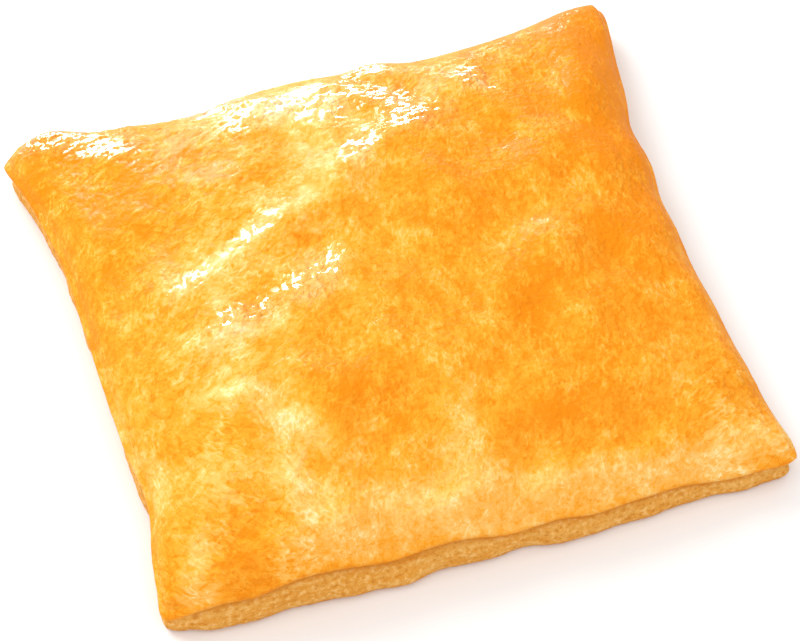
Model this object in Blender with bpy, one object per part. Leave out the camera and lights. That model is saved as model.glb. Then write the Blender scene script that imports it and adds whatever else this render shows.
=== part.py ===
"""Square cheese pastry: two sheets of puff dough with the filling shut in between, baked to one piece.

It is one solid. From the table up it has a flat foot, a pale lower layer that ends in a lip,
a crease all the way round, and a glazed top skin that hangs over the crease and domes up like
a pillow. The sides sag in between the corners, which are drawn out as blunt ears.
Sizes are in millimetres until the last step. +X runs along the near side, +Y to the far side.
"""

import math

import bmesh
import bpy
import numpy as np

NAME = "cheese_pastry"
NODE = "pastry"
MM = 0.001

# Plan, mm: half of the width and the depth between the ears, and where each ear's point lies off them
HALF_WIDTH = 57.5
HALF_DEPTH = 52.7
EAR_SHIFT = {
    "near_left": (0.7, 1.3),
    "near_right": (-0.3, -0.7),
    "far_right": (0.2, 0.2),
    "far_left": (-0.5, -1.9),
}
EAR_CUT = {"near_left": 0.048, "near_right": 0.046, "far_right": 0.065, "far_left": 0.050}
EAR_BLUNTNESS = 12.0
CENTRE_SHIFT = (0.31, 0.86)

# Curves along a side: how square its bow is, and how close to an ear its bumps still reach
BOW_POWER = 4
BUMP_REACH = 12.0
# How far each side sags in, mm: all along it, then (where from -1 to 1, half length, more or less)
SIDE_SAG = {
    "near": (0.7, (0.68, 0.20, 1.2), (-0.34, 0.16, -0.7), (-0.62, 0.14, -0.3), (0.30, 0.16, -0.4)),
    "right": (5.5, (0.10, 0.30, 1.6), (0.20, 0.08, -0.5), (0.40, 0.10, 0.9), (-0.27, 0.14, 0.5)),
    "far": (5.4, (-0.82, 0.15, -2.8), (-0.34, 0.12, 0.4), (-0.14, 0.12, -0.8), (0.50, 0.22, 1.8)),
    "left": (5.5, (0.45, 0.35, 0.8), (-0.56, 0.14, 1.2), (-0.88, 0.08, 0.3)),
}
# How fast the sag, the crease's swell and the lip die away across the square
SAG_FADE, CREASE_FADE, LIP_FADE = 2, 1, 4

# Height of the crease, mm: at the ears, and how much the sides swell between them
EAR_CREASE = {"near_left": 4.6, "near_right": 4.2, "far_right": 3.2, "far_left": 3.2}
CREASE_SWELL = {
    "near": (0.8, (-0.56, 0.36, 2.8), (-0.05, 0.25, 1.4), (0.42, 0.20, 0.9)),
    "right": (1.8, (0.30, 0.30, 0.6)),
    "far": (2.4, (-0.15, 0.30, 0.8)),
    "left": (2.2, (-0.30, 0.40, 0.8)),
}
# How far the lower lip stands out past the skin, mm: at the ears, and more along the near side
EAR_LIP = -0.5
LIP_SOFTNESS = 0.32
LIP_SWELL = {"near": (0.9, (-0.38, 0.26, 0.6)), "right": (0.0,), "far": (0.2,), "left": (0.0,)}

# Rim, mm: the foot's and the crease's depth, and the skin's height over the crease at three levels
FOOT_INSET = 1.1
LOW_INSET = 0.3
CREASE_DEPTH = 0.7
SKIN_INSET = 1.0
SKIN_RISE = (0.6, 1.9, 3.1)
# Shares: of the lip's way in to the crease at two levels, and of the crease's depth just above it
NECK_SHARES = (0.25, 0.7)
UNDERCUT_SHARE = 0.35
# How fast the rim's inset dies away across the top and the foot
INSET_FADE = 6
LIP_LEVELS = (0.13, 0.34, 0.62, 0.86)

# Pillow, mm: how the skin rolls in from the rim, how high it domes, and how full the dome is
ROLL_RADIUS = 5.5
ROLL_RISE = 2.2
DOME_RISE = 7.2
DOME_POWER = 2.8
DOME_FULLNESS = 0.75

# Unevenness of the skin: (wavelength, height, seed) in mm, and where it starts in from the rim
UNDULATIONS = ((30.0, 0.42, 3), (15.0, 0.14, 8), (8.5, 0.08, 21))
CALM_RIM = (1.5, 9.0)
# Single swells and hollows that show: (x, y, radius, height), mm
SWELLS = (
    (-20.0, -22.0, 7.0, 0.6),
    (-37.0, -36.0, 8.0, 0.7),
    (14.0, -26.0, 6.0, 0.5),
    (46.0, -42.0, 7.0, 0.6),
    (8.0, 34.0, 7.0, 0.5),
    (30.0, 4.0, 10.0, 0.5),
    (-46.0, 6.0, 6.0, -0.6),
    (-8.0, -12.0, 8.0, -0.5),
    (38.0, 24.0, 8.0, -0.5),
    (-28.0, 32.0, 9.0, -0.6),
)
# Folds and furrows of the skin: (from x, y, to x, y, half width, height), mm
FOLDS = (
    (-38.0, 1.5, -10.0, 11.5, 3.4, 0.9),
    (-10.0, 11.5, 24.0, 33.0, 3.6, 0.9),
    (-36.0, -9.5, -8.0, -1.5, 2.8, 0.7),
    (-39.0, -20.0, -31.0, -21.0, 2.6, 0.8),
    (-31.0, -21.0, -20.0, -35.0, 2.8, 0.8),
    (-28.0, -34.0, -29.5, -42.0, 2.4, 0.6),
    (18.0, 14.0, 20.0, -16.0, 4.0, -0.6),
    (-46.0, -4.0, -44.0, -30.0, 3.0, -0.5),
)
# Unevenness of the rim: (wavelength, amount, seed) in mm
RIM_WOBBLE = (11.0, 0.22, 5)
CREASE_WOBBLE = (14.0, 0.35, 13)

# Mesh: cuts across the top and up the rim, and how much closer together they lie near the rim
TOP_CUTS = 51
RIM_ROWS = 8
EDGE_CROWDING = 0.45

CRUST_COLOUR = (0.86, 0.42, 0.09, 1.0)
CRUST_ROUGHNESS = 0.38


def bump(s, at, half):
    """Smooth rise to 1 at one place along a side."""
    return np.exp(-(((s - at) / half) ** 2))


def side_curve(depth, bumps, s):
    """Curve along a side that is nought at both ears: one broad bow and its local bumps."""
    local = sum(amount * bump(s, at, half) for at, half, amount in bumps)
    bow = depth * (1.0 - np.abs(s) ** BOW_POWER)
    return bow + local * np.minimum(1.0, BUMP_REACH * (1.0 - np.abs(s)))


def between_ears(values, u, v):
    """Value over the square, from one value at each ear."""
    a, b = (u + 1.0) / 2.0, (v + 1.0) / 2.0
    near = (1.0 - a) * values["near_left"] + a * values["near_right"]
    far = (1.0 - a) * values["far_left"] + a * values["far_right"]
    return (1.0 - b) * near + b * far


def side_amounts(curves, u, v, fade):
    """Each side's curve at u, v, dying away across the square."""
    a, b = (u + 1.0) / 2.0, (v + 1.0) / 2.0
    places = {"near": (u, 1.0 - b), "far": (u, b), "left": (v, 1.0 - a), "right": (v, a)}
    return {
        side: side_curve(curves[side][0], curves[side][1:], s) * weight**fade
        for side, (s, weight) in places.items()
    }


def ripple(x, y, length, seed, count=10):
    """Uneven field of about one wavelength and a spread of 1, as waves that cross at random."""
    draw = np.random.default_rng(seed)
    angles = draw.uniform(0.0, 2.0 * math.pi, count)
    phases = draw.uniform(0.0, 2.0 * math.pi, count)
    lengths = length * draw.uniform(0.75, 1.35, count)
    total = np.zeros_like(x)
    for angle, phase, wavelength in zip(angles, phases, lengths):
        along = x * math.cos(angle) + y * math.sin(angle)
        total += np.cos(2.0 * math.pi * along / wavelength + phase)
    return total * math.sqrt(2.0 / count)


def smooth_step(value, low, high):
    share = np.clip((value - low) / (high - low), 0.0, 1.0)
    return share * share * (3.0 - 2.0 * share)


def plan(u, v):
    """Plan place, mm, of a point at u, v of the square, both from -1 to 1."""
    ear_x = {ear: shift[0] for ear, shift in EAR_SHIFT.items()}
    ear_y = {ear: shift[1] for ear, shift in EAR_SHIFT.items()}
    sag = side_amounts(SIDE_SAG, u, v, SAG_FADE)
    x = u * HALF_WIDTH + between_ears(ear_x, u, v) + sag["left"] - sag["right"]
    y = v * HALF_DEPTH + between_ears(ear_y, u, v) + sag["near"] - sag["far"]
    blunt = 1.0 - between_ears(EAR_CUT, u, v) * np.abs(u * v) ** EAR_BLUNTNESS
    return x * blunt, y * blunt


def crease_height(u, v, x, y):
    swell = sum(side_amounts(CREASE_SWELL, u, v, CREASE_FADE).values())
    length, amount, seed = CREASE_WOBBLE
    return between_ears(EAR_CREASE, u, v) + swell + amount * ripple(x, y, length, seed)


def lip_and_skin(u, v, x, y):
    """Insets from the outline, mm, of the lower lip, the crease and the skin's shoulder."""
    lip = EAR_LIP + sum(side_amounts(LIP_SWELL, u, v, LIP_FADE).values())
    soft = np.hypot(lip, LIP_SOFTNESS)
    length, amount, seed = RIM_WOBBLE
    wobble = amount * (ripple(x, y, length, seed) + 1.0)
    lip_in = (soft - lip) / 2.0 + wobble
    skin_in = (soft + lip) / 2.0
    return lip_in, np.maximum(lip_in, skin_in) + CREASE_DEPTH, skin_in


def between_rows(level, rows):
    """Value at a level from 0 to 1 on a smooth curve through the values of evenly spaced rows."""
    last = len(rows) - 1
    row = np.minimum(np.floor(level * last + 1e-6), last - 1).astype(int)
    t = level * last - row
    before, start, end, after = (
        np.choose(np.clip(row + step, 0, last), rows) for step in (-1, 0, 1, 2)
    )
    bend = 2.0 * before - 5.0 * start + 4.0 * end - after
    twist = 3.0 * (start - end) + after - before
    return start + 0.5 * t * (end - before + t * (bend + t * twist))


def rim_profile(level, u, v, x, y):
    """Inset and height, mm, of a rim point at a level from 0 at the foot to 1 at the skin's edge."""
    lip_in, crease_in, skin_in = lip_and_skin(u, v, x, y)
    crease = crease_height(u, v, x, y)
    neck = crease_in - lip_in
    insets = (
        lip_in + FOOT_INSET,
        lip_in + LOW_INSET,
        lip_in,
        lip_in + NECK_SHARES[0] * neck,
        lip_in + NECK_SHARES[1] * neck,
        crease_in,
        UNDERCUT_SHARE * crease_in + (1.0 - UNDERCUT_SHARE) * skin_in,
        skin_in,
        skin_in + SKIN_INSET,
    )
    heights = [0.0 * crease] + [share * crease for share in LIP_LEVELS] + [crease]
    heights += [crease + rise for rise in SKIN_RISE]
    return between_rows(level, insets), between_rows(level, heights)


def fold(x, y, start_x, start_y, end_x, end_y, half, height):
    """Soft ridge, or furrow where the height is negative, along a straight line, mm."""
    run = math.hypot(end_x - start_x, end_y - start_y)
    along_x, along_y = (end_x - start_x) / run, (end_y - start_y) / run
    along = (x - start_x) * along_x + (y - start_y) * along_y
    across = (y - start_y) * along_x - (x - start_x) * along_y
    beyond = np.maximum(np.maximum(-along, along - run), 0.0)
    return height * np.exp(-(across**2 + beyond**2) / half**2)


def swell(x, y, at_x, at_y, radius, height):
    return height * np.exp(-((x - at_x) ** 2 + (y - at_y) ** 2) / radius**2)


def skin_relief(x, y):
    """Height of the skin's undulations, swells and folds, mm."""
    relief = sum(height * ripple(x, y, length, seed) for length, height, seed in UNDULATIONS)
    relief = relief + sum(swell(x, y, *size) for size in SWELLS)
    return relief + sum(fold(x, y, *line) for line in FOLDS)


def pillow(u, v, x, y):
    """Height of the top skin over its own edge, mm."""
    to_side = np.maximum((1.0 - np.abs(u)) * HALF_WIDTH, MM)
    to_end = np.maximum((1.0 - np.abs(v)) * HALF_DEPTH, MM)
    inside = (to_side**-3.0 + to_end**-3.0) ** (-1.0 / 3.0)
    roll = np.sqrt(1.0 - (1.0 - np.clip(inside / ROLL_RADIUS, 0.0, 1.0)) ** 2)
    full = (1.0 - np.abs(u) ** DOME_POWER) * (1.0 - np.abs(v) ** DOME_POWER)
    relief = skin_relief(x, y) * smooth_step(inside, *CALM_RIM)
    return ROLL_RISE * roll + DOME_RISE * full**DOME_FULLNESS + relief


def crowd(s):
    """Moves the cuts closer together near the rim."""
    return (1.0 - EDGE_CROWDING) * s + EDGE_CROWDING * np.sin(math.pi * s / 2.0)


def pastry_form(cube):
    """Places on the pastry, mm, of points on a cube from -1 to 1: top, rim and foot."""
    u, v, w = crowd(cube[:, 0]), crowd(cube[:, 1]), cube[:, 2]
    x, y = plan(u, v)
    inset, height = rim_profile((w + 1.0) / 2.0, u, v, x, y)
    on_top, on_foot = w > 0.999, w < -0.999
    within = np.maximum(np.abs(u), np.abs(v))
    inset = np.where(on_top | on_foot, inset * within**INSET_FADE, inset)
    height = np.where(on_top, height + pillow(u, v, x, y), height)
    x = x * (1.0 - inset / HALF_WIDTH) + CENTRE_SHIFT[0]
    y = y * (1.0 - inset / HALF_DEPTH) + CENTRE_SHIFT[1]
    return np.stack((x, y, height), axis=1)


def cut_cube():
    """Cube from -1 to 1, cut into rows up its sides and a grid on its top, with a plain foot."""
    bm = bmesh.new()
    bmesh.ops.create_cube(bm, size=2.0)
    uprights = [e for e in bm.edges if abs(e.verts[0].co.z - e.verts[1].co.z) > 1.0]
    bmesh.ops.subdivide_edges(bm, edges=uprights, cuts=RIM_ROWS - 1, use_grid_fill=True)
    level = [e for e in bm.edges if abs(e.verts[0].co.z - e.verts[1].co.z) < 0.01]
    bmesh.ops.subdivide_edges(bm, edges=level, cuts=TOP_CUTS - 1, use_grid_fill=True)
    foot = [f for f in bm.faces if f.normal.z < -0.9]
    bmesh.ops.dissolve_faces(bm, faces=foot, use_verts=False)
    return bm


def glazed_crust():
    material = bpy.data.materials.new("glazed_crust")
    material.use_nodes = True
    shader = material.node_tree.nodes["Principled BSDF"]
    shader.inputs["Base Color"].default_value = CRUST_COLOUR
    shader.inputs["Roughness"].default_value = CRUST_ROUGHNESS
    shader.inputs["Metallic"].default_value = 0.0
    return material


def build_pastry(collection):
    bm = cut_cube()
    mesh = bpy.data.meshes.new(NODE)
    bm.to_mesh(mesh)
    bm.free()
    corners = np.empty(len(mesh.vertices) * 3)
    mesh.vertices.foreach_get("co", corners)
    placed = pastry_form(corners.reshape(-1, 3)) * MM
    mesh.vertices.foreach_set("co", placed.ravel())
    mesh.update()
    mesh.shade_smooth()
    mesh.set_sharp_from_angle(angle=math.radians(60.0))
    mesh.materials.append(glazed_crust())
    pastry = bpy.data.objects.new(NODE, mesh)
    collection.objects.link(pastry)
    return pastry


def clear_scene():
    for existing in list(bpy.data.objects):
        bpy.data.objects.remove(existing, do_unlink=True)


def main():
    clear_scene()
    collection = bpy.data.collections.new(NAME)
    bpy.context.scene.collection.children.link(collection)
    build_pastry(collection)


main()
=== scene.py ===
"""Dresses the square cheese pastry in a glazed, wrinkled crust, and sets up a plain studio."""

import math

import bmesh
import bpy
import numpy as np
from bpy.props import FloatProperty, FloatVectorProperty, IntProperty, PointerProperty
from mathutils import Matrix, Vector


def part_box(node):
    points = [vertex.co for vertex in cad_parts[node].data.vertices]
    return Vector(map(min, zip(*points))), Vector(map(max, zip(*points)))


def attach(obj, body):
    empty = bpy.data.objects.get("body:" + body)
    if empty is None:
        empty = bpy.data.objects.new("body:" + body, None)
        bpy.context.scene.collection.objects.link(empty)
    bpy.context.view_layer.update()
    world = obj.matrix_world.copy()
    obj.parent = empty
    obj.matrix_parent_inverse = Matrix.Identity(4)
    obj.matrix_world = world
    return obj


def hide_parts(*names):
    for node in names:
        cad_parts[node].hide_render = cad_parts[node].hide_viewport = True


bl_info = {
    "name": "Cheese Pastry",
    "version": (1, 0, 0),
    "blender": (4, 5, 0),
    "location": "View3D > Sidebar > Pastry",
    "description": "Builds a square cheese pastry with a glazed, wrinkled crust, and its studio",
    "category": "Object",
}

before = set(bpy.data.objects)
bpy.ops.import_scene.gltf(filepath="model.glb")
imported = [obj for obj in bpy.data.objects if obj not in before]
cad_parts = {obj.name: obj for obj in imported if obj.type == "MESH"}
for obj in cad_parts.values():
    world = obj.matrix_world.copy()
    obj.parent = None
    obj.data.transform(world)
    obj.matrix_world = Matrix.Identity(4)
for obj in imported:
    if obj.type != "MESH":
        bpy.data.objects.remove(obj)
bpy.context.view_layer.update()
NODE = "pastry"
BODY = "root"
SLOT = "glazed_crust"
PIECE = "pastry_crust"
MM = 0.001
WHITE = (1.0, 1.0, 1.0)

# Plan, mm: half of the width and depth between the ears, and where each ear's point lies off them
HALF_WIDTH = 57.5
HALF_DEPTH = 52.7
EAR_SHIFT = {
    "near_left": (0.7, 1.3),
    "near_right": (-0.3, -0.7),
    "far_right": (0.2, 0.2),
    "far_left": (-0.5, -1.9),
}
EAR_CUT = {"near_left": 0.048, "near_right": 0.046, "far_right": 0.065, "far_left": 0.050}
EAR_BLUNTNESS = 12.0
CENTRE_SHIFT = (0.31, 0.86)

# Curves along a side: how square its bow is, and how close to an ear its bumps still reach
BOW_POWER = 4
BUMP_REACH = 12.0
# How far each side sags in, mm: all along it, then (where from -1 to 1, half length, more or less)
SIDE_SAG = {
    "near": (0.7, (0.68, 0.20, 1.2), (-0.34, 0.16, -0.7), (-0.62, 0.14, -0.3), (0.30, 0.16, -0.4)),
    "right": (5.5, (0.10, 0.30, 1.6), (0.20, 0.08, -0.5), (0.40, 0.10, 0.9), (-0.27, 0.14, 0.5)),
    "far": (5.4, (-0.82, 0.15, -2.8), (-0.34, 0.12, 0.4), (-0.14, 0.12, -0.8), (0.50, 0.22, 1.8)),
    "left": (5.5, (0.45, 0.35, 0.8), (-0.56, 0.14, 1.2), (-0.88, 0.08, 0.3)),
}
# How fast the sag, the crease's swell and the lip die away across the square
SAG_FADE, CREASE_FADE, LIP_FADE = 2, 1, 4

# Height of the crease, mm: at the ears, and how much the sides swell between them
EAR_CREASE = {"near_left": 4.6, "near_right": 4.2, "far_right": 3.2, "far_left": 3.2}
CREASE_SWELL = {
    "near": (0.8, (-0.56, 0.36, 2.8), (-0.05, 0.25, 1.4), (0.42, 0.20, 0.9)),
    "right": (1.8, (0.30, 0.30, 0.6)),
    "far": (2.4, (-0.15, 0.30, 0.8)),
    "left": (2.2, (-0.30, 0.40, 0.8)),
}
# How far the lower lip stands out past the skin, mm: at the ears, and more along the near side
EAR_LIP = -0.5
LIP_SOFTNESS = 0.32
LIP_SWELL = {"near": (0.9, (-0.38, 0.26, 0.6)), "right": (0.0,), "far": (0.2,), "left": (0.0,)}

# Rim, mm: the foot's and the crease's depth, and the skin's height over the crease at three levels
FOOT_INSET = 1.1
LOW_INSET = 0.3
CREASE_DEPTH = 0.7
SKIN_INSET = 1.0
SKIN_RISE = (0.6, 1.9, 3.1)
# Shares: of the lip's way in to the crease at two levels, and of the crease's depth just above it
NECK_SHARES = (0.25, 0.7)
UNDERCUT_SHARE = 0.35
# How fast the rim's inset dies away across the top and the foot
INSET_FADE = 6
LIP_LEVELS = (0.13, 0.34, 0.62, 0.86)
CREASE_LEVEL = 5.0 / 8.0

# Pillow, mm: how the skin rolls in from the rim, how high it domes, and how full the dome is
ROLL_RADIUS = 5.5
ROLL_RISE = 2.2
DOME_RISE = 7.2
DOME_POWER = 2.8
DOME_FULLNESS = 0.75

# How far the wavelengths of one unevenness spread round their mean
RIPPLE_SPREAD = (0.75, 1.35)
# Unevenness of the skin: (wavelength, height, seed) in mm, and where it starts in from the rim
UNDULATIONS = ((30.0, 0.42, 3), (15.0, 0.14, 8), (8.5, 0.08, 21))
CALM_RIM = (1.5, 9.0)
# Single swells and hollows that show: (x, y, radius, height), mm
SWELLS = (
    (-20.0, -22.0, 7.0, 0.6),
    (-37.0, -36.0, 8.0, 0.7),
    (14.0, -26.0, 6.0, 0.5),
    (46.0, -42.0, 7.0, 0.6),
    (8.0, 34.0, 7.0, 0.5),
    (30.0, 4.0, 10.0, 0.5),
    (-46.0, 6.0, 6.0, -0.6),
    (-8.0, -12.0, 8.0, -0.5),
    (38.0, 24.0, 8.0, -0.5),
    (-28.0, 32.0, 9.0, -0.6),
)
# Folds and furrows of the skin: (from x, y, to x, y, half width, height), mm
FOLDS = (
    (-38.0, 1.5, -10.0, 11.5, 3.4, 0.9),
    (-10.0, 11.5, 24.0, 33.0, 3.6, 0.9),
    (-36.0, -9.5, -8.0, -1.5, 2.8, 0.7),
    (-39.0, -20.0, -31.0, -21.0, 2.6, 0.8),
    (-31.0, -21.0, -20.0, -35.0, 2.8, 0.8),
    (-28.0, -34.0, -29.5, -42.0, 2.4, 0.6),
    (18.0, 14.0, 20.0, -16.0, 4.0, -0.6),
    (-46.0, -4.0, -44.0, -30.0, 3.0, -0.5),
)
# Unevenness of the rim: (wavelength, amount, seed) in mm
RIM_WOBBLE = (11.0, 0.22, 5)
CREASE_WOBBLE = (14.0, 0.35, 13)
# How much closer together the cuts lie near the rim, and how far up or down the cube its faces lie
EDGE_CROWDING = 0.45
ON_FACE = 0.999

# Which way the skin's wrinkles run: (x, y, radius in mm, degrees from +X, how strong)
COMBS = (
    (-26.0, 24.0, 20.0, 26.0, 1.0),
    (-30.0, -2.0, 12.0, 32.0, 0.8),
    (4.0, 26.0, 14.0, 60.0, 0.6),
    (10.0, -4.0, 18.0, 78.0, 0.8),
    (32.0, 6.0, 18.0, 84.0, 0.8),
    (-38.0, -32.0, 12.0, -42.0, 0.9),
    (-22.0, -28.0, 9.0, 62.0, 0.8),
    (-4.0, -42.0, 12.0, 76.0, 0.8),
    (24.0, -40.0, 14.0, 74.0, 0.6),
    (46.0, -44.0, 8.0, 20.0, 0.9),
    (44.0, 30.0, 12.0, 80.0, 0.4),
    (-50.0, 10.0, 12.0, 80.0, 0.25),
    (-50.0, -26.0, 9.0, 75.0, 0.3),
)
# Directions that the combed patterns are blended from, in degrees, how sharply, how far apart their
# noises are taken, and that noise: (size, detail, roughness, how wavy)
COMB_ANGLES = (-44.0, -8.0, 28.0, 58.0, 82.0, 108.0)
COMB_SHARPNESS = 4.0
COMB_OFFSET = 7.3
# How little it takes to still the comb far from every place named, and the shortest direction
# that is still drawn out to full length
COMB_STILLNESS = 0.02
COMB_LEAST = 0.05
COMBED_NOISE = (1.0, 1.0, 0.5, 0.5)
TINY = 0.0001
# How far a seed moves every pattern, in x and y, mm
SEED_STEP = (3.7, 1.3)

# Ridges of the skin: (size across, size along in mm, how wide they are)
WAVES = (1.5, 2.8, 0.10)
WRINKLES = (1.1, 2.0, 0.10)
# Thin dark lines, painted as shade between the wrinkles, the same way
SHADE_LINES = (1.8, 2.9, 0.04)
# Flecks of the skin: (size across, size along in mm, how soft their edges are)
FLECKS = (1.5, 2.4, 0.05)
FLAKES = (3.4, 5.5, 0.07)
# Noise patterns: (size in mm, detail, roughness, how wavy)
COVER = (5.0, 2.0, 0.6, 0.0)
BLOTCHES = (8.0, 3.0, 0.6, 0.4)
MOTTLING = (1.7, 1.5, 0.55, 0.7)
SPECKS = (0.45, 1.5, 0.6, 0.5)
GRAIN = (0.75, 0.0, 0.5, 0.6)
DULLNESS = (3.2, 2.0, 0.5, 0.0)
CRUMBS = (0.9, 2.0, 0.65, 0.0)
RAISED_COVER = (6.0, 2.0, 0.5, 0.0)
RAISED_BLISTERS = (1.7, 2.0, 0.6, 0.6)
RAISED_LUMPS = (6.0, 2.0, 0.5, 0.6)
RAISED_CRUMBS = (1.1, 2.0, 0.6, 0.0)
# Leaves of the lower layer, mm: how long and how thick, in the relief and in the colours
RAISED_LEAVES = (5.0, 0.9)
LEAVES = (6.0, 0.8)
RAISED_LEAF_NOISE = (1.0, 2.0, 0.6, 0.0)
LEAF_NOISE = (1.0, 3.0, 0.6, 0.0)

# Relief: how high the waves and the wrinkles stand, what counts as their middle, how much of them
# is left where the skin is barest, and where on its noise the skin turns from bare to covered
WAVE_SHARE, WRINKLE_SHARE, RIDGE_MIDDLE = 0.8, 0.6, 0.6
BARE_SHARE = 0.4
RELIEF_COVER = (0.34, 0.60)
# Relief is least at the rim, and grows over these distances in from it, mm
RIM_RELIEF = 0.3
RIM_TO_FULL = (-0.5, 3.5)
# Crumbs of the lower layer against its leaves, and the heights over which its relief starts, mm
CRUMB_SHARE = 0.8
OFF_FOOT = (0.05, 0.9)

# How much paler the skin is painted, on a scale from 0, browned, to 1, cream, for less baking and
# for
# painted light: everywhere, in each kind of patch, and where each pattern is strong
BAKE_AND_LIGHT = {
    "skin": 0.15,
    "browned": -0.28,
    "yellowed": 0.36,
    "pale": 0.42,
    # A painted sheen round the glints of the crinkled skin
    "crinkled": 0.12,
    "blotches": 0.30,
    "mottling": 0.30,
    "specks": 0.25,
    "flecks": 0.15,
    "flakes": 0.11,
    # Painted highlights on the crests of the wrinkles and waves
    "wrinkles": 0.34,
    "waves": 0.32,
    # Painted shade along the thin dark lines
    "shade_lines": -0.30,
}
# Where each of the skin's five colours lies on that scale
BAKE_STOPS = (0.0, 0.34, 0.62, 0.88, 1.0)
# How much painted highlight the ridges' crests get: anywhere, where the skin is covered with them,
# and where crinkled
CREST_HIGHLIGHTS = (0.10, 0.65, 0.4)
SKIN_COVER = (0.42, 0.62)
# How much the painted shade lines fade where the ridges cover the skin
SHADE_LINE_FADE = 0.47
# Lower layer: where its leaves and crumbs start and end on their noise, and how strong they are
PALE_LEAVES = (0.35, 0.70)
PALE_CRUMBS = (0.50, 0.68, 0.75)
DARK_CRUMBS = (0.32, 0.46, 0.60)
# Browned foot: from and up to which height, mm, and how strong, and the shade in the crease
BROWN_FOOT = (0.2, 2.2, 0.55)
CREASE_SHADE = 0.75
# Roughness of the skin and how far it varies, and of the lower layer
SKIN_ROUGHNESS = (0.50, 0.10)
SIDE_ROUGHNESS = 0.62
# Where the crinkled skin turns wet, and how much glaze lies on the rest
WET = (0.2, 0.6)
DRY_GLAZE = 0.05
# Share of the shaded grain on the skin, more where it is crinkled, and on the lower layer
SKIN_GRAIN, CRINKLED_GRAIN, SIDE_GRAIN = 1.8, 7.0, 3.0

# Mesh fields, by how far above the crease's level a point lies: where the skin starts, how far it
# hangs, where its lip ends, and the middle and half width of the painted shade along the crease
SKIN_STARTS = (-0.05, 0.09)
SKIN_HANGS = (0.04, 0.30)
LIP_ENDS = (0.05, 0.35)
CREASE_SHADE_BAND = (-0.01, 0.09)
# How much painted shade darkens the hanging skin, how much painted shade browns its lip and takes
# away its yellow, and how crinkled the smoothest skin is
HANG_SHADE = 0.5
LIP_SHADE_BROWNING, LIP_SHADE_YELLOW_LOSS = 0.6, 0.5
LEAST_CRINKLE = 0.15
# Where the lip's painted shade starts and ends: across the right side, down the near side and along
# it
LIP_AT_RIGHT, LIP_AT_NEAR, LIP_ALONG_NEAR = (0.6, 0.95), (0.6, 0.95), (-1.0, -0.3)

# Soft patches of the crust: (x, y, along, across in mm, degrees from +X, how much)
BROWNED_AND_SHADED = (
    (51.0, 26.0, 24.0, 6.0, 85.0, 1.0),
    (42.0, 26.0, 16.0, 8.0, 85.0, 0.9),
    (40.0, -5.0, 8.0, 6.0, 60.0, 1.0),
    (20.0, -15.0, 8.0, 5.0, 70.0, 1.0),
    (-11.0, -26.0, 7.0, 4.0, -40.0, 0.8),
    (30.0, -28.0, 14.0, 8.0, 10.0, 0.4),
    (16.0, -37.0, 11.0, 4.0, 10.0, 0.5),
    (14.0, 10.0, 12.0, 8.0, 70.0, 0.4),
    (-51.0, 40.0, 8.0, 8.0, 0.0, 0.7),
    (30.0, 15.0, 6.0, 5.0, 0.0, 0.7),
    (19.0, 46.0, 5.0, 3.0, 0.0, 0.7),
    (-41.0, 6.0, 4.0, 6.0, 0.0, 0.5),
    (-41.0, 25.0, 10.0, 7.0, -75.0, 0.7),
    (-28.0, 34.0, 9.0, 6.0, 10.0, 0.4),
    (-40.0, -46.0, 4.0, 4.5, 0.0, 0.5),
    (0.0, -5.0, 5.0, 5.0, 0.0, 0.3),
    # Narrow strips beside the folds: painted shade on the folds' flanks turned from the light
    (-13.0, 6.5, 8.0, 2.0, 25.0, 0.4),
    (-26.0, -1.5, 8.0, 2.0, 10.0, 0.4),
    (48.0, 44.0, 10.0, 8.0, 0.0, 0.9),
    (-35.0, -26.0, 4.0, 3.0, -30.0, 0.6),
    (-52.0, 4.0, 4.0, 14.0, 0.0, 0.4),
)
YELLOWED = (
    (-28.0, 4.0, 11.0, 7.5, 20.0, 0.8),
    (-18.0, 14.0, 12.0, 6.0, 28.0, 0.55),
    (-4.0, 23.0, 10.0, 7.0, 35.0, 0.6),
    (-8.0, 1.0, 9.0, 8.0, 30.0, 0.4),
    (-31.0, -11.0, 9.0, 6.0, 0.0, 0.7),
    (-32.0, -22.0, 9.0, 6.0, -30.0, 0.5),
    (-37.0, -32.0, 6.0, 7.0, 0.0, 0.5),
    (-27.0, -37.0, 5.0, 8.0, 0.0, 0.7),
    (-12.0, -45.0, 15.0, 5.5, 0.0, 1.0),
    (8.0, -48.0, 14.0, 4.5, 0.0, 1.0),
    (28.0, -50.0, 20.0, 4.5, 0.0, 1.0),
    (-6.0, 37.0, 10.0, 5.0, 5.0, 0.8),
    (0.0, -34.0, 4.5, 9.0, -10.0, 0.7),
    (39.0, -34.0, 7.0, 6.0, 0.0, 0.3),
    (-14.0, 43.0, 14.0, 6.0, 5.0, 0.6),
    (-48.0, -8.0, 5.0, 14.0, 0.0, 0.2),
    (-12.0, 0.0, 7.0, 5.0, 40.0, 0.2),
    (-26.0, -46.0, 8.0, 3.5, 0.0, 0.6),
)
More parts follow.
